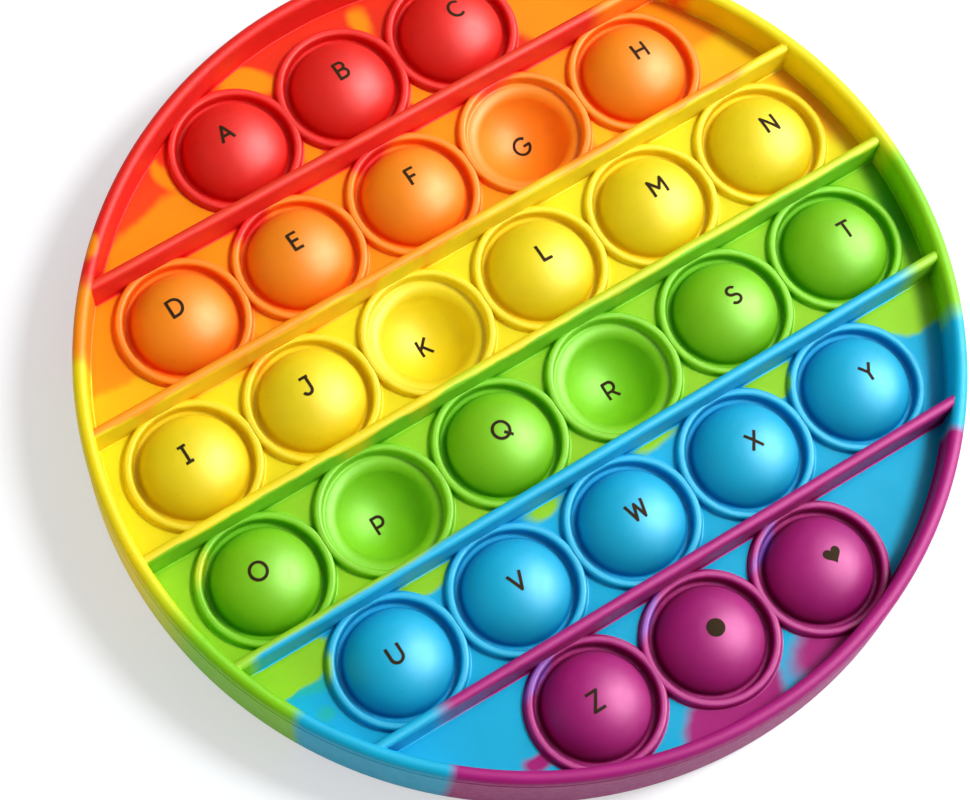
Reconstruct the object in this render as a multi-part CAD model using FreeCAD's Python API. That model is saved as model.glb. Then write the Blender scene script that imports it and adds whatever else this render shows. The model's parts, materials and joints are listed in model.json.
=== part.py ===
"""Round bubble pop fidget toy: one piece of moulded silicone, in millimetres.

A thin round web carries rows of hollow bubbles, each in a raised ring collar. Straight ribs run
between the rows, and a tall rim goes round the whole board. The board is the same on both faces, so
it can be turned over when all the bubbles are pushed through. Four bubbles are pushed through here.

The rows run along X. The board lies on the XY plane with the pushed bubbles pointing down, and the
origin is at the centre of its underside.
"""

import FreeCAD, Part
import math
import os

# Bubbles: the ring collar's crest, the flat ledge inside it, and the dome on the ledge
ring_radius = 9.05
ring_wall = 1.0
ring_rise = 1.2
ring_edge = 0.3
ledge_width = 0.9
ledge_thickness = 0.8
dome_rise = 6.5
dome_wall = 1.0
shoulder_radius = 1.0

# Layout: gaps between the crests of neighbouring rings, and the bow of the end rows
row_counts = (3, 5, 6, 6, 5, 3)
row_crest_gap = 0.9
end_row_crest_gap = 0.28
end_row_bow = 0.43
pushed_bubbles = ((1, 3), (2, 2), (3, 1), (3, 3))

# Web, ribs and rim
web_thickness = 1.4
rib_thickness = 1.6
ring_into_rib = 0.275
rib_below_rim = 0.4
ring_to_rim = 0.07
rim_wall = 2.1
rim_edge_radius = 0.8
rim_beyond_dome = 0.2

# Sizes that follow from those above, measured from the middle of the board's thickness
ring_top = web_thickness / 2 + ring_rise
ring_inside = ring_radius - ring_wall / 2
ring_outside = ring_radius + ring_wall / 2
dome_base_radius = ring_inside - ledge_width
ledge_top = ledge_thickness / 2
row_pitch = 2 * (ring_radius + rib_thickness / 2 - ring_into_rib)
rim_top = dome_rise + rim_beyond_dome
rib_top = rim_top - rib_below_rim

# The dome's sphere goes through its apex and through the ledge's inner edge
dome_height = dome_rise - ledge_top
dome_radius = (dome_base_radius ** 2 + dome_height ** 2) / (2 * dome_height)
dome_centre = dome_rise - dome_radius

Z_AXIS = FreeCAD.Vector(0, 0, 1)
ORIGIN = FreeCAD.Vector(0, 0, 0)


def point(radius, height):
    """A point of a section drawn in the XZ plane."""
    return FreeCAD.Vector(radius, 0, height)


def line(start, end):
    return Part.LineSegment(point(*start), point(*end)).toShape()


def arc(start, middle, end):
    return Part.Arc(point(*start), point(*middle), point(*end)).toShape()


def turned(edges):
    """The solid that a closed section makes when it turns about the Z axis."""
    return Part.Face(Part.Wire(edges)).revolve(ORIGIN, Z_AXIS, 360)


def on_circle(centre, radius, angle):
    """The point of a section's circle at an angle from the section's own X."""
    return (centre[0] + radius * math.cos(angle), centre[1] + radius * math.sin(angle))


def sphere_arc(centre_height, radius, low_angle):
    """Ends and middle of a sphere's outline from low_angle up to its apex on the axis."""
    centre = (0, centre_height)
    middle_angle = (low_angle + math.pi / 2) / 2
    return (on_circle(centre, radius, low_angle), on_circle(centre, radius, middle_angle),
            (0, centre_height + radius))


def path(points):
    """Straight edges from each point to the next."""
    return [line(start, end) for start, end in zip(points, points[1:])]


def collar_edges():
    """The ring collar's outline, from the ledge above, round outside the web, to the ledge below."""
    neck = ring_top - ring_edge
    above = [(ring_inside, ledge_top), (ring_inside, neck), (ring_inside + ring_edge, ring_top),
             (ring_outside - ring_edge, ring_top), (ring_outside, neck)]
    return path(above + [(radius, -height) for radius, height in reversed(above)])


def raised_bubble():
    """A bubble that stands up: a dome of even wall on a thin ledge."""
    inner_radius = dome_radius - dome_wall
    inner_angle = math.asin((-ledge_top - dome_centre) / inner_radius)
    outer_angle = math.asin((ledge_top - dome_centre) / dome_radius)
    outer = sphere_arc(dome_centre, dome_radius, outer_angle)
    inner = sphere_arc(dome_centre, inner_radius, inner_angle)
    edges = [arc(*outer), line(outer[2], inner[2]), arc(inner[2], inner[1], inner[0]),
             line(inner[0], (ring_inside, -ledge_top))]
    edges.append(line((ring_inside, ledge_top), outer[0]))
    return turned(Part.__sortEdges__(edges + collar_edges()))


def pushed_bubble():
    """A bubble pushed through: the dome hangs below, and its mouth has a rounded shoulder."""
    bowl_radius = dome_radius - dome_wall
    bowl_centre = (0, -dome_centre)
    shoulder_height = ledge_top - shoulder_radius
    reach = bowl_radius + shoulder_radius
    drop = bowl_centre[1] - shoulder_height
    shoulder_centre = (math.sqrt(reach ** 2 - drop ** 2), shoulder_height)
    lean = math.atan2(drop, shoulder_centre[0])
    shoulder = (on_circle(shoulder_centre, shoulder_radius, math.pi / 2),
                on_circle(shoulder_centre, shoulder_radius, (1.5 * math.pi - lean) / 2),
                on_circle(shoulder_centre, shoulder_radius, math.pi - lean))
    bowl_middle = on_circle(bowl_centre, bowl_radius, -(lean + math.pi / 2) / 2)
    bowl_apex = (0, bowl_centre[1] - bowl_radius)
    skin_angle = math.asin((-ledge_top - bowl_centre[1]) / dome_radius)
    skin = (on_circle(bowl_centre, dome_radius, skin_angle),
            on_circle(bowl_centre, dome_radius, (skin_angle - math.pi / 2) / 2),
            (0, -dome_rise))
    edges = [line((ring_inside, ledge_top), shoulder[0]), arc(*shoulder),
             arc(shoulder[2], bowl_middle, bowl_apex), line(bowl_apex, skin[2]),
             arc(skin[2], skin[1], skin[0]), line(skin[0], (ring_inside, -ledge_top))]
    return turned(Part.__sortEdges__(edges + collar_edges()))


def bubble_places():
    """Row, column and centre of every bubble, from the row with the largest Y down."""
    places = []
    for row, count in enumerate(row_counts):
        at_end = row in (0, len(row_counts) - 1)
        gap = end_row_crest_gap if at_end else row_crest_gap
        pitch = 2 * ring_radius + gap
        y = ((len(row_counts) - 1) / 2 - row) * row_pitch
        for column in range(count):
            step = column - (count - 1) / 2
            bow = end_row_bow if at_end and step == 0 else 0
            places.append((row, column, step * pitch, y + math.copysign(bow, y)))
    return places


def rim(inner_radius, outer_radius):
    """The rim, with the same rounded edges above and below and a flat land between them."""
    r = rim_edge_radius
    half_round = r * math.sqrt(0.5)
    edges = []
    for side in (1, -1):
        top = side * rim_top
        neck = side * (rim_top - r)
        inner_middle = (inner_radius + r - half_round, side * (rim_top - r + half_round))
        outer_middle = (outer_radius - r + half_round, side * (rim_top - r + half_round))
        edges.append(arc((inner_radius, neck), inner_middle, (inner_radius + r, top)))
        edges.append(line((inner_radius + r, top), (outer_radius - r, top)))
        edges.append(arc((outer_radius - r, top), outer_middle, (outer_radius, neck)))
    for radius in (inner_radius, outer_radius):
        edges.append(line((radius, rim_top - r), (radius, r - rim_top)))
    return turned(Part.__sortEdges__(edges))


def rib(y, end_radius):
    """A straight rib across the board at y, round along its upper and lower edges."""
    half = rib_thickness / 2
    neck = rib_top - half
    x = -end_radius

    def corner(across, height):
        return FreeCAD.Vector(x, y + across, height)

    edges = [Part.LineSegment(corner(-half, -neck), corner(-half, neck)).toShape(),
             Part.Arc(corner(-half, neck), corner(0, rib_top), corner(half, neck)).toShape(),
             Part.LineSegment(corner(half, neck), corner(half, -neck)).toShape(),
             Part.Arc(corner(half, -neck), corner(0, -rib_top), corner(-half, -neck)).toShape()]
    bar = Part.Face(Part.Wire(edges)).extrude(FreeCAD.Vector(2 * end_radius, 0, 0))
    inside_rim = Part.makeCylinder(end_radius, 2 * rim_top, point(0, -rim_top), Z_AXIS)
    return bar.common(inside_rim)


def board():
    places = bubble_places()
    reach = max(math.hypot(x, y) for _, _, x, y in places) + ring_radius
    inner_radius = reach + ring_to_rim
    outer_radius = inner_radius + rim_wall
    middle_radius = inner_radius + rim_wall / 2

    web = Part.makeCylinder(middle_radius, web_thickness, point(0, -web_thickness / 2), Z_AXIS)
    hole = Part.makeCylinder(ring_radius, 2 * rim_top, point(0, -rim_top), Z_AXIS)
    raised = raised_bubble()
    pushed = pushed_bubble()
    holes = []
    bubbles = []
    for row, column, x, y in places:
        centre = FreeCAD.Vector(x, y, 0)
        bubble = pushed if (row, column) in pushed_bubbles else raised
        holes.append(hole.translated(centre))
        bubbles.append(bubble.translated(centre))

    rib_count = len(row_counts) - 1
    ribs = [rib((i - (rib_count - 1) / 2) * row_pitch, middle_radius) for i in range(rib_count)]
    web = web.cut(holes)
    whole = rim(inner_radius, outer_radius).fuse([web] + ribs + bubbles)
    whole.translate(FreeCAD.Vector(0, 0, rim_top))
    return whole.removeSplitter()


os.makedirs("parts", exist_ok=True)
toy = board()
toy.exportStep("parts/bubble_board.step")
print("solids", len(toy.Solids), "faces", len(toy.Faces), "valid", toy.isValid())
print("size", toy.BoundBox, "volume", toy.Volume)
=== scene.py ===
"""The looks of a round bubble pop fidget toy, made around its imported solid.

The toy is one moulding of silicone, so one closed mesh stands for it. Both faces of that mesh are
height fields: each is the highest of the floor, the bubbles' collars, the ribs and the rim at every
point. Lengths are in millimetres and heights are measured from the middle of the board's thickness,
and both become metres in the frame when a mesh is made.
"""

import json
import math

import bpy
import numpy as np
from mathutils import Matrix, Vector
from mathutils.geometry import delaunay_2d_cdt


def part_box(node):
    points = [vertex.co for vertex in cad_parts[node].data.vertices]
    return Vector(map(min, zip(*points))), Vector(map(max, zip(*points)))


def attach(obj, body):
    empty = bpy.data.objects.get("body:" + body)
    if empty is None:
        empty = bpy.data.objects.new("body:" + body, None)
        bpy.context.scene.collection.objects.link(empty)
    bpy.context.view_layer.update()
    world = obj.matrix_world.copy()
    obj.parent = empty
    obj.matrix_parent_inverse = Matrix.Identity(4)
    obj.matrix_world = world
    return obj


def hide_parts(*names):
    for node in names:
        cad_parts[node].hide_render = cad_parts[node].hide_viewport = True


MM = 0.001

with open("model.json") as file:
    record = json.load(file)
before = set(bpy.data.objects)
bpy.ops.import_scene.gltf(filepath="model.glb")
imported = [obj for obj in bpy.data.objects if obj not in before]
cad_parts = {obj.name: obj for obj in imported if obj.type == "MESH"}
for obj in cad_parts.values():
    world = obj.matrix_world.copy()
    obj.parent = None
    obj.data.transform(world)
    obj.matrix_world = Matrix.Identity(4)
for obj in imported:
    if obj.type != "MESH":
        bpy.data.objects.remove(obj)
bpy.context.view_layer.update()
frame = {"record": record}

# Size of the board, from its solid
board_low, board_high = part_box("bubble_board")
outer_radius = board_high.x / MM
rim_top = (board_high.z - board_low.z) / 2 / MM

# Section of a bubble and its ring collar
ring_radius = 9.12
ring_wall = 1.22
ring_top = 1.85
ring_crest_radius = 0.46
ring_draft = 0.07
dome_base_radius = 7.7
dome_top = 6.5
dome_wall = 1.0
ledge_top = 0.15
shoulder_radius = 1.9
floor_top = 0.7

# Where the dome's sphere gives way to its rounded foot, above the ledge, and the radius there and at
# the collar's inner foot
dome_foot_height = 0.45
ledge_corner_radius = 0.36

# Section of the ribs and the rim. The mould's parting seam runs round the outer wall: a shallow
# groove, and a step down to the wall below it.
rib_half = 0.8
rib_top = 6.3
rib_crest_radius = 0.74
rim_wall = 2.1
rim_inner_crest_radius = 0.95
rim_outer_crest_radius = 1.05
seam_height = 4.9
seam_width = 0.1
seam_step = 0.07
seam_groove_depth = 0.02
seam_groove_height = 0.03
seam_edge_radius = 0.02
seam_edge_height = 0.04

# Small radii at the feet of the walls, and how far each wall leans
foot_radius = 0.25
draft = 0.03
collar_foot = ring_radius + ring_wall / 2 + ring_draft + foot_radius
rib_foot = rib_half + draft + foot_radius
rim_inside = outer_radius - rim_wall
rim_foot = rim_inside - draft - foot_radius

# Fineness of the meshes: degrees between stations of a rounding, and points round a circle. Circles
# inside the radii of FEWER_AROUND have that many times fewer points.
HEIGHT_STEP = 3
DOME_HEIGHT_STEP = 1
TOP = dict(side=1, step=30, dome_step=10, around=60)
UNDERSIDE = dict(side=-1, step=45, dome_step=18, around=36)
RIM_AROUND = 240
FEWER_AROUND = ((2.2, 4), (5, 2))

# Nearness that counts as meeting: of places, of a station and the surface there, of a corner and the
# seam, and of two lines in the triangulation. Corners are joined when so many decimals agree.
TINY = 1e-6
STATION_SLACK = 0.01
SEAM_SLACK = 0.001
BOARD_MERGE, PRINT_MERGE = 1e-5, 1e-4
LEAST_AREA = 1e-9
JOINED_DECIMALS = 4

# A corner's normal is taken this share of the way into its triangle, and it is the triangle's own
# where the two differ by more than a rounding's step and this many degrees
NORMAL_INSET = 0.06
CREASE_SLACK = 8

# Colours of the moulded silicone and the ink, linear, and a darker green painted as shade
COLOURS = {
    "red": (0.76, 0.014, 0.008),
    "scarlet": (0.76, 0.032, 0.008),
    "orange": (0.90, 0.248, 0.002),
    "tangerine": (0.92, 0.30, 0.002),
    "yellow": (0.83, 0.665, 0.003),
    "lemon": (0.80, 0.71, 0.008),
    "green": (0.19, 0.54, 0.002),
    "blue": (0.001, 0.40, 0.65),
    "purple": (0.34, 0.005, 0.16),
    "vermilion": (0.88, 0.065, 0.006),
    "amber": (0.93, 0.40, 0.004),
    "lime": (0.56, 0.66, 0.006),
    "leaf": (0.29, 0.60, 0.015),
    # Painted shade: a darker green for the floor in the rim's shadow
    "rim_shade_green": (0.07, 0.42, 0.002),
    "gold": (0.85, 0.52, 0.004),
    "teal": (0.010, 0.43, 0.42),
    "lilac": (0.24, 0.07, 0.40),
    "ink": (0.030, 0.017, 0.006),
}
ROW_COLOURS = ("red", "orange", "yellow", "green", "blue", "purple")
FLOOR_COLOURS = ("scarlet", "tangerine", "lemon", "leaf", "blue", "blue")
RIB_COLOURS = ("scarlet", "tangerine", "yellow", "blue", "purple")

# Where one colour ran into another before the silicone cured, and two floor strips of painted shade.
# Each patch is an oval: its middle, its half lengths, its turn in degrees, its colour, and how far
# its border is blended. Later patches lie over earlier ones.
FLOOR_PATCHES = (
    ((-33, 43, 13, 7.5, 14, "vermilion", 2.5), (-33, 41.2, 11.5, 5.2, 13, "tangerine", 0.9),
     (-28.8, 49.5, 1.3, 3.2, 10, "tangerine", 0.7), (-11.6, 55.9, 4.6, 2.2, -38, "tangerine", 0.7),
     (8.0, 56.2, 1.6, 2.6, 0, "tangerine", 0.8), (-9.2, 42.6, 1.9, 2.8, 0, "tangerine", 0.6),
     (9.0, 42.7, 2.3, 2.6, 0, "tangerine", 0.6), (34.5, 44, 8.5, 6.8, 0, "tangerine", 0.8)),
    ((-46, 38.2, 4.2, 1.1, 0, "vermilion", 0.6), (-51.5, 22.6, 7.0, 3.0, 3, "gold", 0.7),
     (2.5, 37.8, 4.2, 1.5, 0, "red", 0.4), (20, 37.6, 4.5, 1.2, 0, "red", 0.4),
     (-21.5, 37.6, 4.2, 1.2, 0, "red", 0.4), (28.6, 24.0, 1.9, 2.9, 0, "gold", 0.5),
     (52, 23.5, 8, 4.8, -8, "gold", 1.4), (-28.6, 23.4, 1.6, 1.7, 0, "amber", 0.6)),
    # Painted shade: the amber strip at the right end of row 3 and the dark green one at the right end of
    # row 4 lie where the rim casts its shadow
    ((-33, 18.2, 2.6, 0.8, 0, "gold", 0.5), (57.6, 12.5, 2.4, 9.0, 12, "amber", 1.8)),
    ((58.6, -8.5, 2.4, 8.5, -9, "rim_shade_green", 1.8),),
    ((-49.5, -24.6, 5.0, 2.6, 0, "teal", 0.5), (-52.5, -21.4, 8.4, 4.4, -5, "leaf", 0.35),
     (-29.5, -20.4, 5.2, 1.6, 0, "leaf", 0.5), (-9.3, -20.4, 2.9, 1.3, 0, "leaf", 0.5),
     (9.2, -20.2, 3.6, 1.1, 0, "leaf", 0.5), (27.6, -20.8, 4.6, 3.4, 0, "leaf", 0.4),
     (52, -21.4, 8.6, 4.4, -9, "leaf", 0.5), (-49.8, -29.8, 1.2, 0.9, 0, "teal", 0.5)),
    ((-29.2, -50.4, 2.3, 1.4, -30, "purple", 0.5), (-2.6, -58.6, 8.2, 5.0, 12, "purple", 0.8),
     (15.5, -57.3, 8.5, 3.6, 18, "purple", 1.3)),
)
BUBBLE_PATCHES = (
    (),
    ((-22.5, 37.3, 4.6, 1.9, 22, "red", 0.7), (-2.4, 37.7, 4.6, 1.9, 15, "red", 0.7),
     (3.0, 38.2, 4.0, 1.4, 0, "red", 0.5), (20, 38.2, 5.0, 1.3, 0, "red", 0.5)),
    ((-32.5, 18.4, 2.3, 0.9, 20, "amber", 0.8),),
    ((-54.3, -3.8, 0.9, 2.4, -34, "lime", 0.7),),
    ((-46.6, -24.4, 1.0, 2.2, -25, "leaf", 0.5), (29.6, -22.4, 0.9, 1.8, -35, "green", 0.4)),
    ((-23.0, -40.6, 4.2, 0.9, 32, "lilac", 0.4), (-5.2, -40.9, 4.2, 0.8, 38, "lilac", 0.4),
     (13.8, -41.0, 4.0, 0.8, 36, "lilac", 0.4)),
)

# The colour of each rib's side that looks towards the next row, stretches of the rib from x to x,
# and ovals over both, measured from its middle line. A side is a long oval beside the crest, and what
# goes all round a rib is as wide as across_rib.
rib_side_middle, rib_side_reach, rib_side_soft = 3, 2.45, 0.16
across_rib, all_along = 60, 900
RIB_SIDES = ("red", "yellow", "green", "blue", "purple")
RIB_CRESTS = (
    (),
    ((4, 19, "gold", 2.5), (30, 37, "gold", 2.0), (50, 90, "yellow", 2.5)),
    ((-13, -6, "lime", 2.5), (6, 100, "lime", 5.0)),
    (),
    (),
)
RIB_PATCHES = (
    ((63.5, 0, 26.5, across_rib, 0, "orange", 2.0),),
    ((-31, -2.2, 20, 1.6, 0, "amber", 0.6),),
    (),
    ((-46, 1.0, 25, 1.15, 0, "leaf", 0.3), (-60, 0, 5, 4, 0, "leaf", 1.0),
     (-29, -2.4, 6, 1.4, 0, "leaf", 0.4), (71, 0, 19, across_rib, 0, "leaf", 2.5)),
    ((-35, -2.6, 7, 1.5, 0, "blue", 0.5), (-63.5, 0, 26.5, across_rib, 0, "blue", 2.2),
     (68.5, 0, 21, across_rib, 0, "blue", 1.0)),
)

# The rim's colours, each from an angle about the board's middle, in degrees from +X, to the next,
# with how many degrees the border is blended over, and ovals over them
RIM_SECTORS = ((-180, "yellow", 0), (-177, "lime", 2.5), (-171, "green", 3), (-151.5, "blue", 0.4),
               (-131.5, "purple", 0.3), (-43, "blue", 0.4), (-27, "green", 1), (-2.5, "lime", 1.2),
               (0.8, "yellow", 1.2), (40, "orange", 2), (62, "red", 2), (141, "orange", 0.8),
               (151, "yellow", 1.0))
RIM_PATCHES = (
    (-44.2, 43.2, 2.0, 1.1, 45, "orange", 0.5), (48.75, 34.6, 3.4, 1.0, -56, "vermilion", 0.4),
)


# Outlines

def rounded(corners, step):
    """Points of an outline whose corners (x, height, radius) are rounded, every step degrees of arc."""
    points = [corners[0][:2]]
    for before, corner, after in zip(corners, corners[1:], corners[2:]):
        here = Vector(corner[:2])
        back = (Vector(before[:2]) - here).normalized()
        on = (Vector(after[:2]) - here).normalized()
        half = back.angle(on) / 2
        if corner[2] == 0:
            points.append(corner[:2])
            continue
        centre = here + (back + on).normalized() * corner[2] / math.sin(half)
        start = here + back * corner[2] / math.tan(half) - centre
        end = here + on * corner[2] / math.tan(half) - centre
        first = math.atan2(start.y, start.x)
        turn = math.remainder(math.atan2(end.y, end.x) - first, math.tau)
        count = max(2, math.ceil(math.degrees(abs(turn)) / step))
        for k in range(count + 1):
            angle = first + turn * k / count
            points.append((centre.x + corner[2] * math.cos(angle), centre.y + corner[2] * math.sin(angle)))
    points.append(corners[-1][:2])
    return np.array(points)


def swept(centre_height, centre_radius, radius, first, last, step):
    """Corners, with no rounding of their own, along a circle's arc from first to last degrees."""
    count = max(2, math.ceil(abs(last - first) / step))
    angles = [math.radians(first + (last - first) * k / count) for k in range(count + 1)]
    return [(centre_radius + radius * math.cos(a), centre_height + radius * math.sin(a), 0) for a in angles]


# The dome's sphere goes through its apex and through the ledge's inner edge
dome_height = dome_top - ledge_top
dome_radius = (dome_base_radius ** 2 + dome_height ** 2) / (2 * dome_height)
dome_centre = dome_top - dome_radius


def collar():
    """Corners of the collar's section, from the ledge inside it to the floor outside."""
    inside = ring_radius - ring_wall / 2
    outside = ring_radius + ring_wall / 2
    return [(inside - ring_draft, ledge_top, ledge_corner_radius),
            (inside + ring_draft, ring_top, ring_crest_radius),
            (outside - ring_draft, ring_top, ring_crest_radius),
            (outside + ring_draft, floor_top, foot_radius),
            (collar_foot + ring_draft, floor_top, 0)]


def raised_section(step, dome_step):
    """A bubble that stands up, from its apex out over the collar to the floor."""
    foot_angle = math.degrees(math.asin((ledge_top + dome_foot_height - dome_centre) / dome_radius))
    dome = swept(dome_centre, 0, dome_radius, 90, foot_angle, dome_step)
    return rounded(dome + [(dome_base_radius, ledge_top, ledge_corner_radius)] + collar(), step)


def pushed_section(step, dome_step):
    """A bubble that is pushed through: a bowl with a rounded shoulder inside the collar."""
    bowl_radius = dome_radius - dome_wall
    bowl_centre = -dome_centre
    shoulder_centre = ledge_top - shoulder_radius
    drop = bowl_centre - shoulder_centre
    across = math.sqrt((bowl_radius + shoulder_radius) ** 2 - drop ** 2)
    lean = math.degrees(math.atan2(drop, across))
    bowl = swept(bowl_centre, 0, bowl_radius, -90, -lean, dome_step)
    shoulder = swept(shoulder_centre, across, shoulder_radius, 180 - lean, 90, step / 2)
    return rounded(bowl + shoulder[1:] + collar(), step)


def rib_section(step):
    """A rib's section from its middle line out to the floor."""
    return rounded([(0, rib_top, 0), (rib_half - draft, rib_top, rib_crest_radius),
                    (rib_half + draft, floor_top, foot_radius), (rib_foot + draft, floor_top, 0)], step)


def rim_section(step):
    """The rim's section from the floor inside it to the seam on its outer side."""
    seam_radius = outer_radius - seam_step
    return rounded([(rim_foot - draft, floor_top, 0), (rim_inside - draft, floor_top, foot_radius),
                    (rim_inside + draft, rim_top, rim_inner_crest_radius),
                    (seam_radius - 2 * draft, rim_top, rim_outer_crest_radius),
                    (seam_radius, seam_height + seam_width, 0)], step)


# Layout, from the finger spaces that the record gives for each bubble

def read_bubbles():
    """Row, centre and state of each bubble, from the openings named bubble_ROW_COLUMN_hollow or _bowl."""
    found = []
    for opening in frame["record"]["physics"]["openings"]:
        _, row, column, kind = opening["name"].split("_")
        if kind in ("hollow", "bowl"):
            low, high = opening["box_m"]
            found.append(dict(row=int(row) - 1, column=int(column) - 1, raised=kind == "hollow",
                              x=(low[0] + high[0]) / 2 / MM, y=(low[1] + high[1]) / 2 / MM))
    return found


bubbles = read_bubbles()
row_count = 1 + max(bubble["row"] for bubble in bubbles)
row_pitch = (bubbles[0]["y"] - bubbles[-1]["y"]) / (row_count - 1)
rib_places = [((row_count - 2) / 2 - k) * row_pitch for k in range(row_count - 1)]

SECTIONS = {
    True: raised_section(HEIGHT_STEP, DOME_HEIGHT_STEP),
    False: pushed_section(HEIGHT_STEP, DOME_HEIGHT_STEP),
    "rib": rib_section(HEIGHT_STEP),
    "rim": rim_section(HEIGHT_STEP),
}
NOWHERE = -100.0
FLOOR, BUBBLE, RIB, RIM = range(4)


def surface(x, y, side):
    """Height of one face at each point, with what the point belongs to and that thing's number.

    The highest thing at a point wins. Inside a collar only the bubble counts, up to the collar's top.
    """
    height = np.full(x.shape, floor_top)
    least = np.full(x.shape, floor_top)
    kind = np.full(x.shape, FLOOR)
    number = np.clip(np.round((row_count - 1) / 2 - y / row_pitch), 0, row_count - 1).astype(int)

    def raise_to(places, level, new_kind, new_number):
        higher = (level > height[places]) & ((new_kind == BUBBLE) | (level > least[places]))
        chosen = places[higher]
        height[chosen] = level[higher]
        kind[chosen] = new_kind
        number[chosen] = new_number

    for bubble in bubbles:
        dx, dy = x - bubble["x"], y - bubble["y"]
        near = np.flatnonzero((np.abs(dx) < collar_foot) & (np.abs(dy) < collar_foot))
        away = np.hypot(dx[near], dy[near])
        inside = near[away < ring_radius]
        height[inside] = NOWHERE
        least[inside] = ring_top
        section = SECTIONS[bubble["raised"] == (side > 0)]
        level = np.interp(away, section[:, 0], section[:, 1], right=NOWHERE)
        raise_to(near, level, BUBBLE, bubble["row"])

    radius = np.hypot(x, y)
    for k, place in enumerate(rib_places):
        near = np.flatnonzero((np.abs(y - place) < rib_foot) & (radius < outer_radius - rim_wall / 2))
        away = np.abs(y[near] - place)
        level = np.interp(away, *SECTIONS["rib"].T, right=NOWHERE)
        raise_to(near, level, RIB, k)
    near = np.flatnonzero(radius > rim_foot)
    raise_to(near, np.interp(radius[near], *SECTIONS["rim"].T, left=NOWHERE), RIM, 0)
    return height, kind, number


# Meshing

class Outline:
    """Points and edges that a face's triangles have to follow."""

    def __init__(self):
        self.points = []
        self.edges = []

    def circle(self, x, y, radius, around, wanted=None):
        """A circle of chords, or only the chords that have an end at a place that is wanted."""
        angles = np.arange(around) * math.tau / around
        places = np.column_stack([x + radius * np.cos(angles), y + radius * np.sin(angles)])
        kept = np.full(around, True) if wanted is None else wanted(places[:, 0], places[:, 1])
        chords = kept | np.roll(kept, -1)
        used = chords | np.roll(chords, 1)
        index = len(self.points) + np.cumsum(used) - 1
        self.points += [Vector(place) for place in places[used].tolist()]
        self.edges += [(int(index[k]), int(index[(k + 1) % around])) for k in range(around) if chords[k]]

    def line(self, start, end):
        first = len(self.points)
        self.points += [Vector(start), Vector(end)]
        self.edges.append((first, first + 1))


def face_outline(side, step, dome_step, around):
    """Circles and lines along every station of the bubbles, ribs and rim of one face."""
    outline = Outline()
    for bubble in bubbles:
        make = raised_section if bubble["raised"] == (side > 0) else pushed_section
        for radius, height in make(step, dome_step):
            if radius < TINY:
                outline.points.append(Vector((bubble["x"], bubble["y"])))
                continue
            fewer = next((times for inside, times in FEWER_AROUND if radius <= inside), 1)
            outline.circle(bubble["x"], bubble["y"], radius, around // fewer,
                           lambda x, y: surface(x, y, side)[0] < height + STATION_SLACK)
    for one in bubbles:
        for other in bubbles:
            apart = Vector((other["x"] - one["x"], other["y"] - one["y"]))
            if (one["row"], one["column"] + 1) == (other["row"], other["column"]):
                middle = Vector((one["x"], one["y"])) + apart / 2
                reach = math.sqrt(collar_foot ** 2 - (apart.length / 2) ** 2)
                along = Vector((-apart.y, apart.x)).normalized() * reach
                outline.line(middle - along, middle + along)
    end = outer_radius - rim_wall / 2
    for place in rib_places:
        for across, _ in rib_section(step):
            for offset in {across, -across}:
                reach = math.sqrt(end ** 2 - (place + offset) ** 2)
                outline.line((-reach, place + offset), (reach, place + offset))
    for radius, _ in rim_section(step):
        outline.circle(0, 0, radius, RIM_AROUND)
    return outline


def face_mesh(side, step, dome_step, around):
    """Corners and triangles of one face, wound to look out of the board."""
    outline = face_outline(side, step, dome_step, around)
    found = delaunay_2d_cdt(outline.points, outline.edges, [], 0, BOARD_MERGE, False)
    flat, _, triangles = found[:3]
    flat = np.array([point[:] for point in flat])
    triangles = np.array(triangles)
    height, _, _ = surface(flat[:, 0], flat[:, 1], side)
    at_seam = np.hypot(flat[:, 0], flat[:, 1]) > outer_radius - seam_step - SEAM_SLACK
    height[at_seam] = seam_height + seam_width
    a, b, c = (flat[triangles[:, k]] for k in range(3))
    doubled = (b[:, 0] - a[:, 0]) * (c[:, 1] - a[:, 1]) - (b[:, 1] - a[:, 1]) * (c[:, 0] - a[:, 0])
    triangles[doubled * side < 0] = triangles[doubled * side < 0][:, ::-1]
    triangles = triangles[np.abs(doubled) > LEAST_AREA]
    return np.column_stack([flat, side * height]), triangles


def wall_mesh():
    """The rim's outer wall, from the seam above it to the seam below it."""
    seam_radius = outer_radius - seam_step
    half = [(seam_radius, seam_height + seam_width),
            (seam_radius - seam_groove_depth, seam_height + seam_groove_height),
            (outer_radius - seam_edge_radius, seam_height),
            (outer_radius, seam_height - seam_edge_height)]
    stations = half + [(radius, -height) for radius, height in reversed(half)]
    angles = np.arange(RIM_AROUND) * math.tau / RIM_AROUND
    rings = [np.column_stack([r * np.cos(angles), r * np.sin(angles), np.full(RIM_AROUND, z)])
             for r, z in stations]
    quads = []
    for level in range(len(stations) - 1):
        for k in range(RIM_AROUND):
            on = (k + 1) % RIM_AROUND
            upper, lower = level * RIM_AROUND, (level + 1) * RIM_AROUND
            quads.append((upper + k, lower + k, lower + on))
            quads.append((upper + k, lower + on, upper + on))
    return np.vstack(rings), np.array(quads)


def unit(vectors):
    """Each row of an array, made one long."""
    return vectors / np.linalg.norm(vectors, axis=1)[:, None]


def flat_normals(corners, triangles):
    a, b, c = (corners[triangles[:, k]] for k in range(3))
    return unit(np.cross(b - a, c - a))


def slope_normals(places, side):
    """The surface's own normal at each place, from the heights a little to each side of it."""
    aside = 0.002
    x, y = places[:, 0], places[:, 1]
    slope_x = surface(x + aside, y, side)[0] - surface(x - aside, y, side)[0]
    slope_y = surface(x, y + aside, side)[0] - surface(x, y - aside, side)[0]
    return unit(np.column_stack([-slope_x, -slope_y, np.full(len(x), 2 * aside)])) * (1, 1, side)


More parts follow.
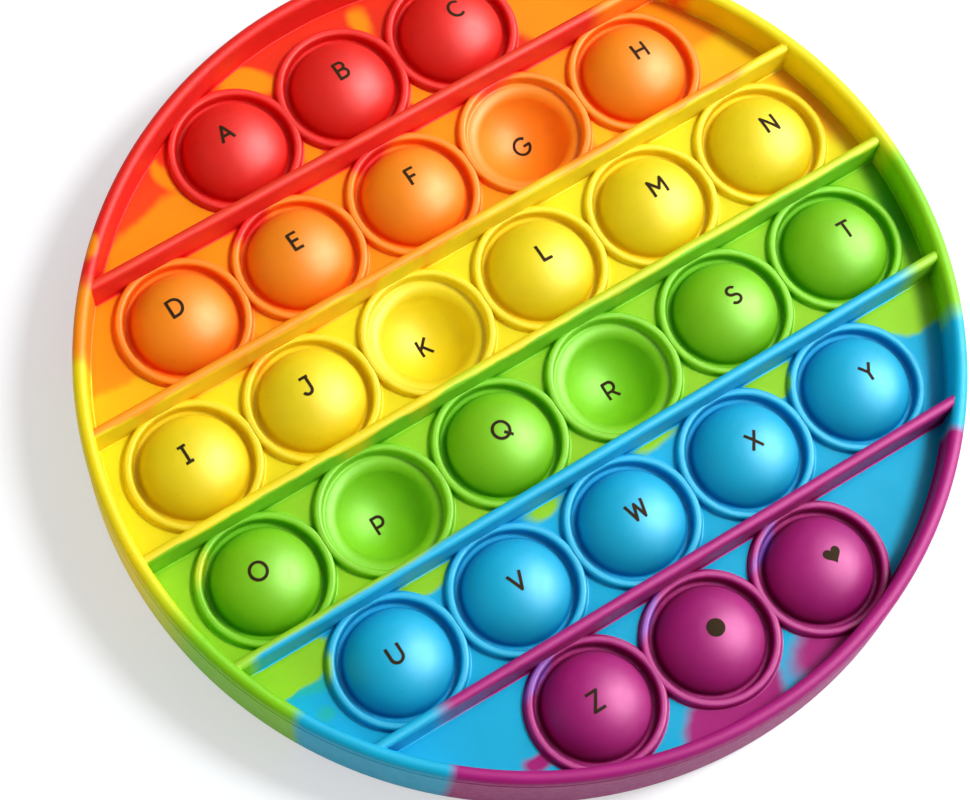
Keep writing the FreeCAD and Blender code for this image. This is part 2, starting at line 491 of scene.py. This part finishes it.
def corner_normals(corners, triangles, side, step):
    """A normal for each corner of each triangle: the surface's just inside it, or the triangle's own
    where a crease passes so near that the two differ by more than a step of a rounding."""
    normals = np.zeros((len(triangles), 3, 3))
    flat = flat_normals(corners, triangles)
    middle = corners[triangles].mean(axis=1)
    near_enough = math.cos(math.radians(step + CREASE_SLACK))
    for k in range(3):
        inward = corners[triangles[:, k]] * (1 - NORMAL_INSET) + middle * NORMAL_INSET
        smooth = slope_normals(inward, side)
        creased = (smooth * flat).sum(axis=1) < near_enough
        smooth[creased] = flat[creased]
        normals[:, k] = smooth
    return normals


def wall_normals(corners, triangles):
    """A normal for each corner of the outer wall: each triangle's own slope, turned to the corner."""
    flat = flat_normals(corners, triangles)
    normals = np.zeros((len(triangles), 3, 3))
    for k in range(3):
        outward = unit(corners[triangles[:, k]][:, :2])
        level = np.sqrt(1 - flat[:, 2] ** 2)
        normals[:, k] = np.column_stack([outward * level[:, None], flat[:, 2]])
    return normals


def make_board(materials):
    """The whole moulding as one closed mesh, a material to each row's floor, bubbles, rib and rim."""
    parts = []
    for look in (TOP, UNDERSIDE):
        corners, triangles = face_mesh(**look)
        normals = corner_normals(corners, triangles, look["side"], look["step"])
        parts.append((corners, triangles, normals, look["side"]))
    corners, triangles = wall_mesh()
    parts.append((corners, triangles, wall_normals(corners, triangles), 0))

    all_corners, all_triangles, all_normals, owners = [], [], [], []
    count = 0
    for corners, triangles, normals, side in parts:
        all_corners.append(corners)
        all_triangles.append(triangles + count)
        all_normals.append(normals)
        count += len(corners)
        middle = corners[triangles].mean(axis=1)
        if side:
            _, kind, number = surface(middle[:, 0], middle[:, 1], side)
            owners += list(zip(kind.tolist(), number.tolist()))
        else:
            owners += [(RIM, 0)] * len(triangles)
    corners = np.vstack(all_corners).astype(np.float32)
    triangles = np.vstack(all_triangles)
    normals = np.vstack(all_normals)
    _, first, again = np.unique(np.round(corners, JOINED_DECIMALS), axis=0,
                                return_index=True, return_inverse=True)
    corners = corners[first]
    triangles = again.reshape(-1)[triangles]
    whole = ((triangles[:, 0] != triangles[:, 1]) & (triangles[:, 1] != triangles[:, 2])
             & (triangles[:, 2] != triangles[:, 0]))
    triangles, normals = triangles[whole], normals[whole]
    owners = [owner for owner, kept in zip(owners, whole) if kept]

    mesh = bpy.data.meshes.new("bubble_board_silicone")
    placed = (corners + (0, 0, rim_top)) * MM
    mesh.from_pydata(placed.tolist(), [], triangles.tolist())
    names = list(materials)
    for name in names:
        mesh.materials.append(materials[name])
    mesh.polygons.foreach_set("material_index", [names.index(owner) for owner in owners])
    mesh.normals_split_custom_set(normals.reshape(-1, 3).tolist())
    mesh.update()
    board = bpy.data.objects.new("silicone_board", mesh)
    bpy.context.scene.collection.objects.link(board)
    return board


# Materials. Scales of noise are in waves a millimetre.

# The scale and the reach in millimetres of the wandering of the colours' borders, slow and fine, and
# what share of the reach each kind of thing has
WANDER = ((0.16, 3), (0.8, 0.5))
RAGGED = {FLOOR: 1, BUBBLE: 0.5, RIB: 0.3, RIM: 0.6}
RIM_UPRIGHT = 0.5

# The shader's specular level for each kind of thing, and the roughness and relief of the grain
GLOSS = {FLOOR: 0.2, BUBBLE: 0.8, RIB: 0.6, RIM: 0.4}
SILICONE_IOR = 1.42
ROUGHNESS = (0.48, 0.56)
GRAIN_SCALE = 0.9
GRAIN_RELIEF = 0.03
GRAIN_STRENGTH = 0.5

# Between what values most of a noise lies
NOISE_RANGE = (0.3, 0.7)

# Uneven pigment: wide tones, and sparse darker specks
TONE_SCALE, TONE = 0.12, (0.95, 1.04)
SPECK_SCALE, SPECK_EDGE, SPECK_SHADE = 1.7, (0.80, 0.84), 0.92

# Painted shade in grooves, where walls are near: within what reach, from what openness to what
# the darkening fades out, how strong it is at most, and how much duller and more tinted the sheen
# gets there
GROOVE_REACH = 2.2
GROOVE_OPENNESS, GROOVE_SHADE_MOST = (0.2, 0.65), 0.8
GROOVE_DULLNESS = 0.5
SHEEN_TINT, GROOVE_TINT = 0.35, 0.8


class Graph:
    """A material's node tree, with a short way to add nodes to it."""

    def __init__(self, name):
        self.material = bpy.data.materials.new(name)
        self.material.use_nodes = True
        self.tree = self.material.node_tree
        self.shader = self.tree.nodes["Principled BSDF"]

    def add(self, kind, inputs, output=0, **settings):
        """Adds a node, sets or links its inputs, and gives one of its outputs."""
        node = self.tree.nodes.new("ShaderNode" + kind)
        for name, value in settings.items():
            setattr(node, name, value)
        for name, value in inputs.items():
            self.feed(node.inputs[name], value)
        return node.outputs[output]

    def feed(self, socket, value):
        if isinstance(value, bpy.types.NodeSocket):
            self.tree.links.new(value, socket)
        else:
            socket.default_value = value

    def math(self, operation, *values):
        return self.add("Math", dict(enumerate(values)), operation=operation)

    def vector(self, operation, *values):
        return self.add("VectorMath", dict(enumerate(values)), operation=operation)

    def mix(self, share, first, second, blend="MIX"):
        """A mix of two colours. The node's colour inputs are its sixth and seventh."""
        return self.add("Mix", {0: share, 6: first, 7: second}, output=2, data_type="RGBA",
                        blend_type=blend)

    def noise(self, place, scale, detail, output="Fac"):
        return self.add("TexNoise", {"Vector": place, "Scale": scale, "Detail": detail}, output=output)

    def ramp(self, value, low, high, to_low=0.0, to_high=1.0):
        """A value eased from to_low, where it is low, to to_high, where it is high."""
        return self.add("MapRange", {0: value, 1: low, 2: high, 3: to_low, 4: to_high},
                        interpolation_type="SMOOTHSTEP")

    def spread(self, noise, between):
        """A noise's usual range, spread between two values."""
        return self.ramp(noise, *NOISE_RANGE, *between)


def paint(name):
    return (*COLOURS[name], 1)


def flowed_place(graph, place, ragged, upright):
    """The place seen from above, moved about so that the colours' borders wander. They wander down the
    walls as well where upright is above 0."""
    flat = graph.vector("MULTIPLY", place, (1, 1, 0))
    down = graph.vector("SUBTRACT", place, (0, 0, 2 * rim_top))
    stretched = graph.vector("MULTIPLY", down, (1, 1, upright))
    moves = []
    for scale, reach in WANDER:
        way = graph.vector("SUBTRACT", graph.noise(stretched, scale, 0, "Color"), (0.5, 0.5, 0.5))
        moves.append(graph.vector("MULTIPLY", way, (reach * ragged, reach * ragged, 0)))
    return graph.vector("ADD", flat, graph.vector("ADD", *moves))


def patch_share(graph, place, patch):
    """How much of a patch's colour shows at a place: 1 in the oval, 0 outside, blended at the border."""
    x, y, reach_x, reach_y, turn, _, soft = patch
    oval = graph.add("Mapping", {"Vector": place, "Location": (x, y, 0),
                                 "Scale": (reach_x, reach_y, 1),
                                 "Rotation": (0, 0, math.radians(turn))}, vector_type="TEXTURE")
    away = graph.add("VectorMath", {0: oval}, output="Value", operation="LENGTH")
    blend = soft / min(reach_x, reach_y)
    return graph.ramp(away, 1 - blend, 1 + blend, 1, 0)


def sector_colour(graph, place):
    """The rim's colour at a place, by its angle about the board's middle."""
    x, y = (graph.add("SeparateXYZ", {0: place}, output=k) for k in range(2))
    turn = graph.math("MULTIPLY_ADD", graph.math("ARCTAN2", y, x), 1 / math.tau, 0.5)
    colour = graph.add("ValToRGB", {0: turn})
    stops = [(0, RIM_SECTORS[0][1])]
    for before, (angle, name, soft) in zip(RIM_SECTORS, RIM_SECTORS[1:]):
        stops += [((angle - soft) / 360 + 0.5, before[1]), ((angle + soft) / 360 + 0.5, name)]
    ramp = colour.node.color_ramp
    for k, (position, name) in enumerate(stops):
        stop = ramp.elements[k] if k < 2 else ramp.elements.new(1)
        stop.position = position
        stop.color = paint(name)
    return colour


def silicone(name, kind, base, patches):
    """Moulded silicone for one kind of thing: a base colour, or the rim's sectors, under patches."""
    graph = Graph(name)
    object_place = graph.add("TexCoord", {}, output="Object")
    place = graph.vector("MULTIPLY", object_place, (1 / MM, 1 / MM, 1 / MM))
    flowed = flowed_place(graph, place, RAGGED[kind], RIM_UPRIGHT if kind == RIM else 0)
    colour = sector_colour(graph, flowed) if kind == RIM else paint(base)
    for patch in patches:
        colour = graph.mix(patch_share(graph, flowed, patch), colour, paint(patch[5]))

    # Painted shade: near walls the colour is darkened towards its own square, by ambient occlusion
    openness = graph.add("AmbientOcclusion", {"Distance": GROOVE_REACH * MM, "Color": (1, 1, 1, 1)},
                         output="AO", samples=4, only_local=True)
    groove = graph.ramp(openness, *GROOVE_OPENNESS, GROOVE_SHADE_MOST, 0)
    colour = graph.mix(groove, colour, graph.mix(1, colour, colour, "MULTIPLY"))
    tone = graph.spread(graph.noise(place, TONE_SCALE, 3), TONE)
    specks = graph.ramp(graph.noise(place, SPECK_SCALE, 0), *SPECK_EDGE, 1, SPECK_SHADE)
    colour = graph.mix(1, colour, graph.math("MULTIPLY", tone, specks), "MULTIPLY")
    graph.feed(graph.shader.inputs["Base Color"], colour)

    tint = graph.math("MULTIPLY_ADD", groove, GROOVE_TINT, SHEEN_TINT)
    graph.feed(graph.shader.inputs["Specular Tint"], graph.mix(tint, (1, 1, 1, 1), colour))
    grain = graph.noise(place, GRAIN_SCALE, 3)
    dull = graph.math("MULTIPLY_ADD", groove, GROOVE_DULLNESS, graph.spread(grain, ROUGHNESS))
    graph.feed(graph.shader.inputs["Roughness"], dull)
    graph.feed(graph.shader.inputs["Normal"], graph.add(
        "Bump", {"Height": grain, "Distance": GRAIN_RELIEF * MM, "Strength": GRAIN_STRENGTH},
        output="Normal"))
    graph.shader.inputs["IOR"].default_value = SILICONE_IOR
    graph.shader.inputs["Specular IOR Level"].default_value = GLOSS[kind]
    return graph.material


def rib_patches(k):
    """The stretches of the rib's crest, its other side, and the ovals that lie along it."""
    y = rib_places[k]
    patches = [((start + end) / 2, y, (end - start) / 2, across_rib, 0, colour, soft)
               for start, end, colour, soft in RIB_CRESTS[k]]
    patches.append((0, y - rib_side_middle, all_along, rib_side_reach, 0, RIB_SIDES[k], rib_side_soft))
    for x, away, *rest in RIB_PATCHES[k]:
        patches.append((x, y + away, *rest))
    return patches


def board_materials():
    made = {}
    for row, colour in enumerate(ROW_COLOURS):
        made[FLOOR, row] = silicone(f"floor_{row + 1}", FLOOR, FLOOR_COLOURS[row], FLOOR_PATCHES[row])
        made[BUBBLE, row] = silicone(f"bubbles_{row + 1}", BUBBLE, colour, BUBBLE_PATCHES[row])
    for k, colour in enumerate(RIB_COLOURS):
        made[RIB, k] = silicone(f"rib_{k + 1}", RIB, colour, rib_patches(k))
    made[RIM, 0] = silicone("rim", RIM, None, RIM_PATCHES)
    return made


board = make_board(board_materials())
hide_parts("bubble_board")
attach(board, "root")


# The prints on the bubbles

letter_height = 2.55
stroke_width = 0.44
dot_radius = 1.3
heart_scale, heart_lift = 0.082, 2.5
print_pitch = (19.36, 19.39)
print_middle = (0.11, 0.31)
print_rise = 0.03
print_sink = 0.08
ink_roughness, ink_gloss = 0.75, 0.05

# Degrees between points of a round stroke and of the dot and heart, points of the disc at a sharp
# corner, how straight a corner is that needs no disc, and the copies inside a filled print's outline
ARC_STEP = 15
SIGN_STEP = 10
DISC_POINTS = 12
BEND_COSINE = 0.75
FILL_SHARES = (1, 0.7, 0.4)


def arc(x, y, reach_x, reach_y, first, last):
    """Points along an oval from the first to the last of two angles in degrees."""
    count = max(3, math.ceil(abs(last - first) / ARC_STEP))
    turns = [math.radians(first + (last - first) * k / count) for k in range(count + 1)]
    return [(x + reach_x * math.cos(turn), y + reach_y * math.sin(turn)) for turn in turns]


# The strokes of each letter, in cap heights from its middle
LETTERS = {
    "A": [[(-0.38, -0.5), (0, 0.5), (0.38, -0.5)], [(-0.26, -0.16), (0.26, -0.16)]],
    "B": [[(-0.02, 0.02), (-0.3, 0.02), (-0.3, 0.5)] + arc(-0.02, 0.26, 0.25, 0.24, 90, -90),
          [(-0.3, 0.02), (-0.3, -0.5)] + arc(0, -0.24, 0.29, 0.26, -90, 90)],
    "C": [arc(0.03, 0, 0.44, 0.5, 48, 312)],
    "D": [[(-0.36, -0.5), (-0.36, 0.5)] + arc(-0.08, 0, 0.44, 0.5, 90, -90) + [(-0.36, -0.5)]],
    "E": [[(0.26, 0.5), (-0.26, 0.5), (-0.26, -0.5), (0.26, -0.5)], [(-0.26, 0.02), (0.2, 0.02)]],
    "F": [[(0.26, 0.5), (-0.26, 0.5), (-0.26, -0.5)], [(-0.26, 0), (0.18, 0)]],
    "G": [arc(0, 0, 0.46, 0.5, 45, 345) + [(0.44, -0.02), (0.08, -0.02)]],
    "H": [[(-0.34, -0.5), (-0.34, 0.5)], [(0.34, -0.5), (0.34, 0.5)], [(-0.34, 0), (0.34, 0)]],
    "I": [[(0, -0.5), (0, 0.5)], [(-0.24, 0.5), (0.24, 0.5)], [(-0.24, -0.5), (0.24, -0.5)]],
    "J": [[(-0.26, 0.5), (0.26, 0.5)],
          [(0.12, 0.5), (0.12, -0.22)] + arc(-0.13, -0.24, 0.25, 0.26, 0, -170)],
    "K": [[(-0.28, -0.5), (-0.28, 0.5)], [(0.3, 0.5), (-0.28, -0.1)], [(-0.08, 0.1), (0.34, -0.5)]],
    "L": [[(-0.24, 0.5), (-0.24, -0.5), (0.28, -0.5)]],
    "M": [[(-0.42, -0.5), (-0.42, 0.5), (0, -0.14), (0.42, 0.5), (0.42, -0.5)]],
    "N": [[(-0.34, -0.5), (-0.34, 0.5), (0.34, -0.5), (0.34, 0.5)]],
    "O": [arc(0, 0, 0.47, 0.5, 0, 360)],
    "P": [[(-0.28, -0.5), (-0.28, 0.5)] + arc(0.02, 0.22, 0.28, 0.28, 90, -90) + [(-0.28, -0.06)]],
    "Q": [arc(0, 0, 0.47, 0.5, 0, 360), [(0.08, -0.18), (0.46, -0.56)]],
    "R": [[(-0.28, -0.5), (-0.28, 0.5)] + arc(0.02, 0.22, 0.28, 0.28, 90, -90) + [(-0.28, -0.06)],
          [(0.04, -0.06), (0.34, -0.5)]],
    "S": [arc(0, 0.25, 0.28, 0.25, 30, 270) + arc(0, -0.25, 0.3, 0.25, 90, -150)[1:]],
    "T": [[(-0.38, 0.5), (0.38, 0.5)], [(0, 0.5), (0, -0.5)]],
    "U": [[(-0.34, 0.5)] + arc(0, -0.16, 0.34, 0.34, 180, 360) + [(0.34, 0.5)]],
    "V": [[(-0.38, 0.5), (0, -0.5), (0.38, 0.5)]],
    "W": [[(-0.5, 0.5), (-0.26, -0.5), (0, 0.36), (0.26, -0.5), (0.5, 0.5)]],
    "X": [[(-0.34, 0.5), (0.34, -0.5)], [(0.34, 0.5), (-0.34, -0.5)]],
    "Y": [[(-0.36, 0.5), (0, -0.02), (0.36, 0.5)], [(0, -0.02), (0, -0.5)]],
    "Z": [[(-0.32, 0.5), (0.32, 0.5), (-0.32, -0.5), (0.34, -0.5)]],
}


def round_about(count):
    """Directions all the way round, a number of them, in even steps."""
    turns = [math.tau * k / count for k in range(count)]
    return [Vector((math.cos(turn), math.sin(turn))) for turn in turns]


def stroke_pieces(points):
    """Four-cornered pieces along a stroke, with a disc at each sharp corner."""
    spaced = [points[0]]
    for start, end in zip(points, points[1:]):
        count = max(1, math.ceil((end - start).length / stroke_width))
        spaced += [start.lerp(end, (k + 1) / count) for k in range(count)]
    ways = [(end - start).normalized() for start, end in zip(spaced, spaced[1:])]
    across = [Vector((-way.y, way.x)) * stroke_width / 2 for way in ways]
    closed = (spaced[0] - spaced[-1]).length < TINY
    pieces = []
    for k, (start, end) in enumerate(zip(spaced, spaced[1:])):
        sides = []
        for other in (k - 1, k + 1):
            other = other % len(ways) if closed else min(max(other, 0), len(ways) - 1)
            lean = ways[k].dot(ways[other])
            if lean > BEND_COSINE:
                sides.append((across[k] + across[other]) / (1 + lean))
            else:
                sides.append(across[k])
                corner = start if other == k - 1 else end
                pieces.append([corner + way * stroke_width / 2 for way in round_about(DISC_POINTS)])
        pieces.append([start - sides[0], end - sides[1], end + sides[1], start + sides[0]])
    return pieces


def filled_pieces(outline):
    """An outline and smaller copies inside it, so that the print can follow the bubble."""
    return [[place * share for place in outline] for share in FILL_SHARES]


def heart_point(turn):
    """A point of the usual heart curve, 32 wide, at an angle about its middle."""
    rise = 13 * math.cos(turn) - 5 * math.cos(2 * turn) - 2 * math.cos(3 * turn) - math.cos(4 * turn)
    return Vector((-16 * math.sin(turn) ** 3, rise + heart_lift))


def dot_and_heart():
    dot = [way * dot_radius for way in round_about(360 // SIGN_STEP)]
    heart = [heart_point(math.radians(turn)) * heart_scale for turn in range(0, 360, SIGN_STEP)]
    return [filled_pieces(dot), filled_pieces(heart)]


def print_mesh(pieces, bubble, middle):
    """Corners and triangles of one print: a thin closed skin that follows its bubble."""
    points = [corner + middle for piece in pieces for corner in piece]
    starts = np.cumsum([0] + [len(piece) for piece in pieces])
    faces = [list(range(starts[k], starts[k + 1])) for k in range(len(pieces))]
    flat, _, triangles, _, _, covered = delaunay_2d_cdt(points, [], faces, 0, PRINT_MERGE, True)
    triangles = np.array([t for t, origin in zip(triangles, covered) if origin])
    used, triangles = np.unique(triangles, return_inverse=True)
    triangles = triangles.reshape(-1, 3)
    flat = np.array([flat[k][:] for k in used])
    away = np.hypot(flat[:, 0] - bubble["x"], flat[:, 1] - bubble["y"])
    if bubble["raised"]:
        height = dome_centre + np.sqrt(dome_radius ** 2 - away ** 2)
    else:
        height = -dome_centre - np.sqrt((dome_radius - dome_wall) ** 2 - away ** 2)
    height = height + rim_top
    a, b, c = (flat[triangles[:, k]] for k in range(3))
    turned = (b[:, 0] - a[:, 0]) * (c[:, 1] - a[:, 1]) < (b[:, 1] - a[:, 1]) * (c[:, 0] - a[:, 0])
    triangles[turned] = triangles[turned][:, ::-1]
    edges = {(int(t[k]), int(t[(k + 1) % 3])) for t in triangles for k in range(3)}
    count = len(flat)
    sides = []
    for start, end in sorted(edges):
        if (end, start) not in edges:
            sides += [(start, start + count, end + count), (start, end + count, end)]
    corners = np.vstack([np.column_stack([flat, height + print_rise]),
                         np.column_stack([flat, height - print_sink])])
    return corners, np.vstack([triangles, triangles[:, ::-1] + count, np.array(sides)])


def make_prints(material):
    """A letter for each bubble in reading order, then a dot and a heart on the last two."""
    signs = [[piece for stroke in strokes
              for piece in stroke_pieces([Vector(place) * letter_height for place in stroke])]
             for strokes in LETTERS.values()] + dot_and_heart()
    corners, triangles, count = [], [], 0
    ordered = sorted(bubbles, key=lambda bubble: (bubble["row"], bubble["column"]))
    for bubble, pieces in zip(ordered, signs):
        in_row = [other["column"] for other in bubbles if other["row"] == bubble["row"]]
        steps = (bubble["column"] - max(in_row) / 2, (row_count - 1) / 2 - bubble["row"])
        middle = Vector(tuple(print_middle[k] + print_pitch[k] * steps[k] for k in range(2)))
        own_corners, own_triangles = print_mesh(pieces, bubble, middle)
        corners.append(own_corners)
        triangles.append(own_triangles + count)
        count += len(own_corners)
    mesh = bpy.data.meshes.new("bubble_prints")
    mesh.from_pydata((np.vstack(corners) * MM).tolist(), [], np.vstack(triangles).tolist())
    mesh.materials.append(material)
    mesh.update()
    prints = bpy.data.objects.new("bubble_prints", mesh)
    bpy.context.scene.collection.objects.link(prints)
    return prints


def ink():
    graph = Graph("print_ink")
    graph.shader.inputs["Base Color"].default_value = paint("ink")
    graph.shader.inputs["Roughness"].default_value = ink_roughness
    graph.shader.inputs["Specular IOR Level"].default_value = ink_gloss
    return graph.material


prints = make_prints(ink())
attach(prints, "root")


# Floor, light and camera

# The floor: its size and how far it lies below the toy, in metres; its colour for bounced light, and
# for what sees it; its sheen; and its own glow, with the glow's share near the toy and far from it
FLOOR_SIZE, FLOOR_DROP = 40, 0.0002
FLOOR_BOUNCED, FLOOR_SEEN = (0.5, 0.5, 0.5, 1), (0.90, 0.925, 0.985, 1)
FLOOR_ROUGHNESS, FLOOR_GLOSS = 0.9, 0.1
FLOOR_GLOW = 1.14
GLOW_SHARES, GLOW_RADII = (0.44, 0.95), (0.15, 0.6)


def make_floor():
    """A pale floor that is white to the horizon, and keeps the toy's shadow."""
    bpy.ops.mesh.primitive_plane_add(size=FLOOR_SIZE, location=(0, 0, -FLOOR_DROP))
    floor = bpy.context.object
    floor.name = "studio_floor"
    graph = Graph("studio_floor")
    rays = [graph.add("LightPath", {}, output=f"Is {kind} Ray")
            for kind in ("Camera", "Glossy", "Transmission")]
    seen = graph.math("ADD", graph.math("ADD", rays[0], rays[1]), rays[2])
    graph.feed(graph.shader.inputs["Base Color"], graph.mix(seen, FLOOR_BOUNCED, FLOOR_SEEN))
    graph.shader.inputs["Roughness"].default_value = FLOOR_ROUGHNESS
    graph.shader.inputs["Specular IOR Level"].default_value = FLOOR_GLOSS
    glow = graph.add("Emission", {"Color": (1, 1, 1, 1), "Strength": FLOOR_GLOW})
    place = graph.add("TexCoord", {}, output="Object")
    away = graph.add("VectorMath", {0: place}, output="Value", operation="LENGTH")
    glow_share = graph.math("MULTIPLY", seen, graph.ramp(away, *GLOW_RADII, *GLOW_SHARES))
    mixed = graph.add("MixShader", {0: glow_share, 1: graph.shader.outputs[0], 2: glow})
    graph.feed(graph.tree.nodes["Material Output"].inputs["Surface"], mixed)
    floor.data.materials.append(graph.material)


def direction(azimuth, elevation):
    """The direction towards something seen at an azimuth, from +X towards +Y, and an elevation."""
    a, e = math.radians(azimuth), math.radians(elevation)
    return Vector((math.cos(a) * math.cos(e), math.sin(a) * math.cos(e), math.sin(e)))


def add_softbox(name, azimuth, elevation, distance, size, power, diffuse=True, glossy=True,
                colour=(1, 1, 1)):
    """An oval lamp that looks at the toy's middle, and lights matt surfaces, glossy ones or both."""
    light = bpy.data.lights.new(name, "AREA")
    light.color = colour
    light.shape = "ELLIPSE"
    light.size, light.size_y = size
    light.energy = power
    lamp = bpy.data.objects.new(name, light)
    towards = direction(azimuth, elevation)
    lamp.location = towards * distance
    lamp.rotation_mode = "QUATERNION"
    lamp.rotation_quaternion = towards.to_track_quat("Z", "Y")
    lamp.visible_diffuse = diffuse
    lamp.visible_glossy = glossy
    bpy.context.scene.collection.objects.link(lamp)


# The studio's brightness, from the dim side to the side of the key light, and the cosines of the
# angle from that side's middle over which it changes
STUDIO_LIGHT = {"From Min": 0.3, "From Max": 0.85, "To Min": 0.15, "To Max": 1.4}


def make_world():
    """A dim studio that is bright on the side of the key light, down to the horizon."""
    world = bpy.data.worlds.new("studio")
    world.use_nodes = True
    bpy.context.scene.world = world
    tree = world.node_tree
    background = tree.nodes["Background"]
    place = tree.nodes.new("ShaderNodeTexCoord")
    towards = tree.nodes.new("ShaderNodeVectorMath")
    towards.operation = "DOT_PRODUCT"
    towards.inputs[1].default_value = direction(azimuth=-8, elevation=10)
    tree.links.new(place.outputs["Generated"], towards.inputs[0])
    bright = tree.nodes.new("ShaderNodeMapRange")
    bright.interpolation_type = "SMOOTHSTEP"
    for name, value in STUDIO_LIGHT.items():
        bright.inputs[name].default_value = value
    tree.links.new(towards.outputs["Value"], bright.inputs["Value"])
    tree.links.new(bright.outputs["Result"], background.inputs["Strength"])
    background.inputs["Color"].default_value = (1, 1, 1, 1)


make_floor()
make_world()
add_softbox("key", azimuth=-19, elevation=57, distance=0.6, size=(0.12, 0.16), power=2.9, glossy=False)
add_softbox("sheen", azimuth=-22, elevation=43, distance=0.5, size=(0.6, 0.6), power=11.6, diffuse=False)
add_softbox("fill", azimuth=170, elevation=20, distance=0.9, size=(1.2, 0.5), power=3.0, glossy=False,
            colour=(1, 0.9, 0.8))

# Camera, at the photograph's own view: where it looks, from where, and how it is tilted
aim = Vector((-11.56, -3.36, rim_top + ring_top)) * MM
camera_azimuth, camera_elevation, camera_roll = -39.26, 70.34, 7.58
camera_distance = 385.08 * MM
camera_lens = 102.49
camera_shift = (0.0215, 0.0130)
camera_clip = 0.01


def make_camera():
    camera = bpy.data.cameras.new("camera")
    camera.lens = camera_lens
    camera.shift_x, camera.shift_y = camera_shift
    camera.clip_start = camera_clip
    a, e = math.radians(camera_azimuth), math.radians(camera_elevation)
    back = Vector((math.sin(a) * math.cos(e), -math.cos(a) * math.cos(e), math.sin(e)))
    level = Vector((math.cos(a), math.sin(a), 0))
    up = back.cross(level)
    roll = math.radians(camera_roll)
    right = level * math.cos(roll) + up * math.sin(roll)
    pose = Matrix((right, back.cross(right), back)).transposed().to_4x4()
    pose.translation = aim + back * camera_distance
    holder = bpy.data.objects.new("camera", camera)
    holder.matrix_world = pose
    bpy.context.scene.collection.objects.link(holder)
    bpy.context.scene.camera = holder


make_camera()
bpy.context.scene.view_settings.view_transform = "Standard"
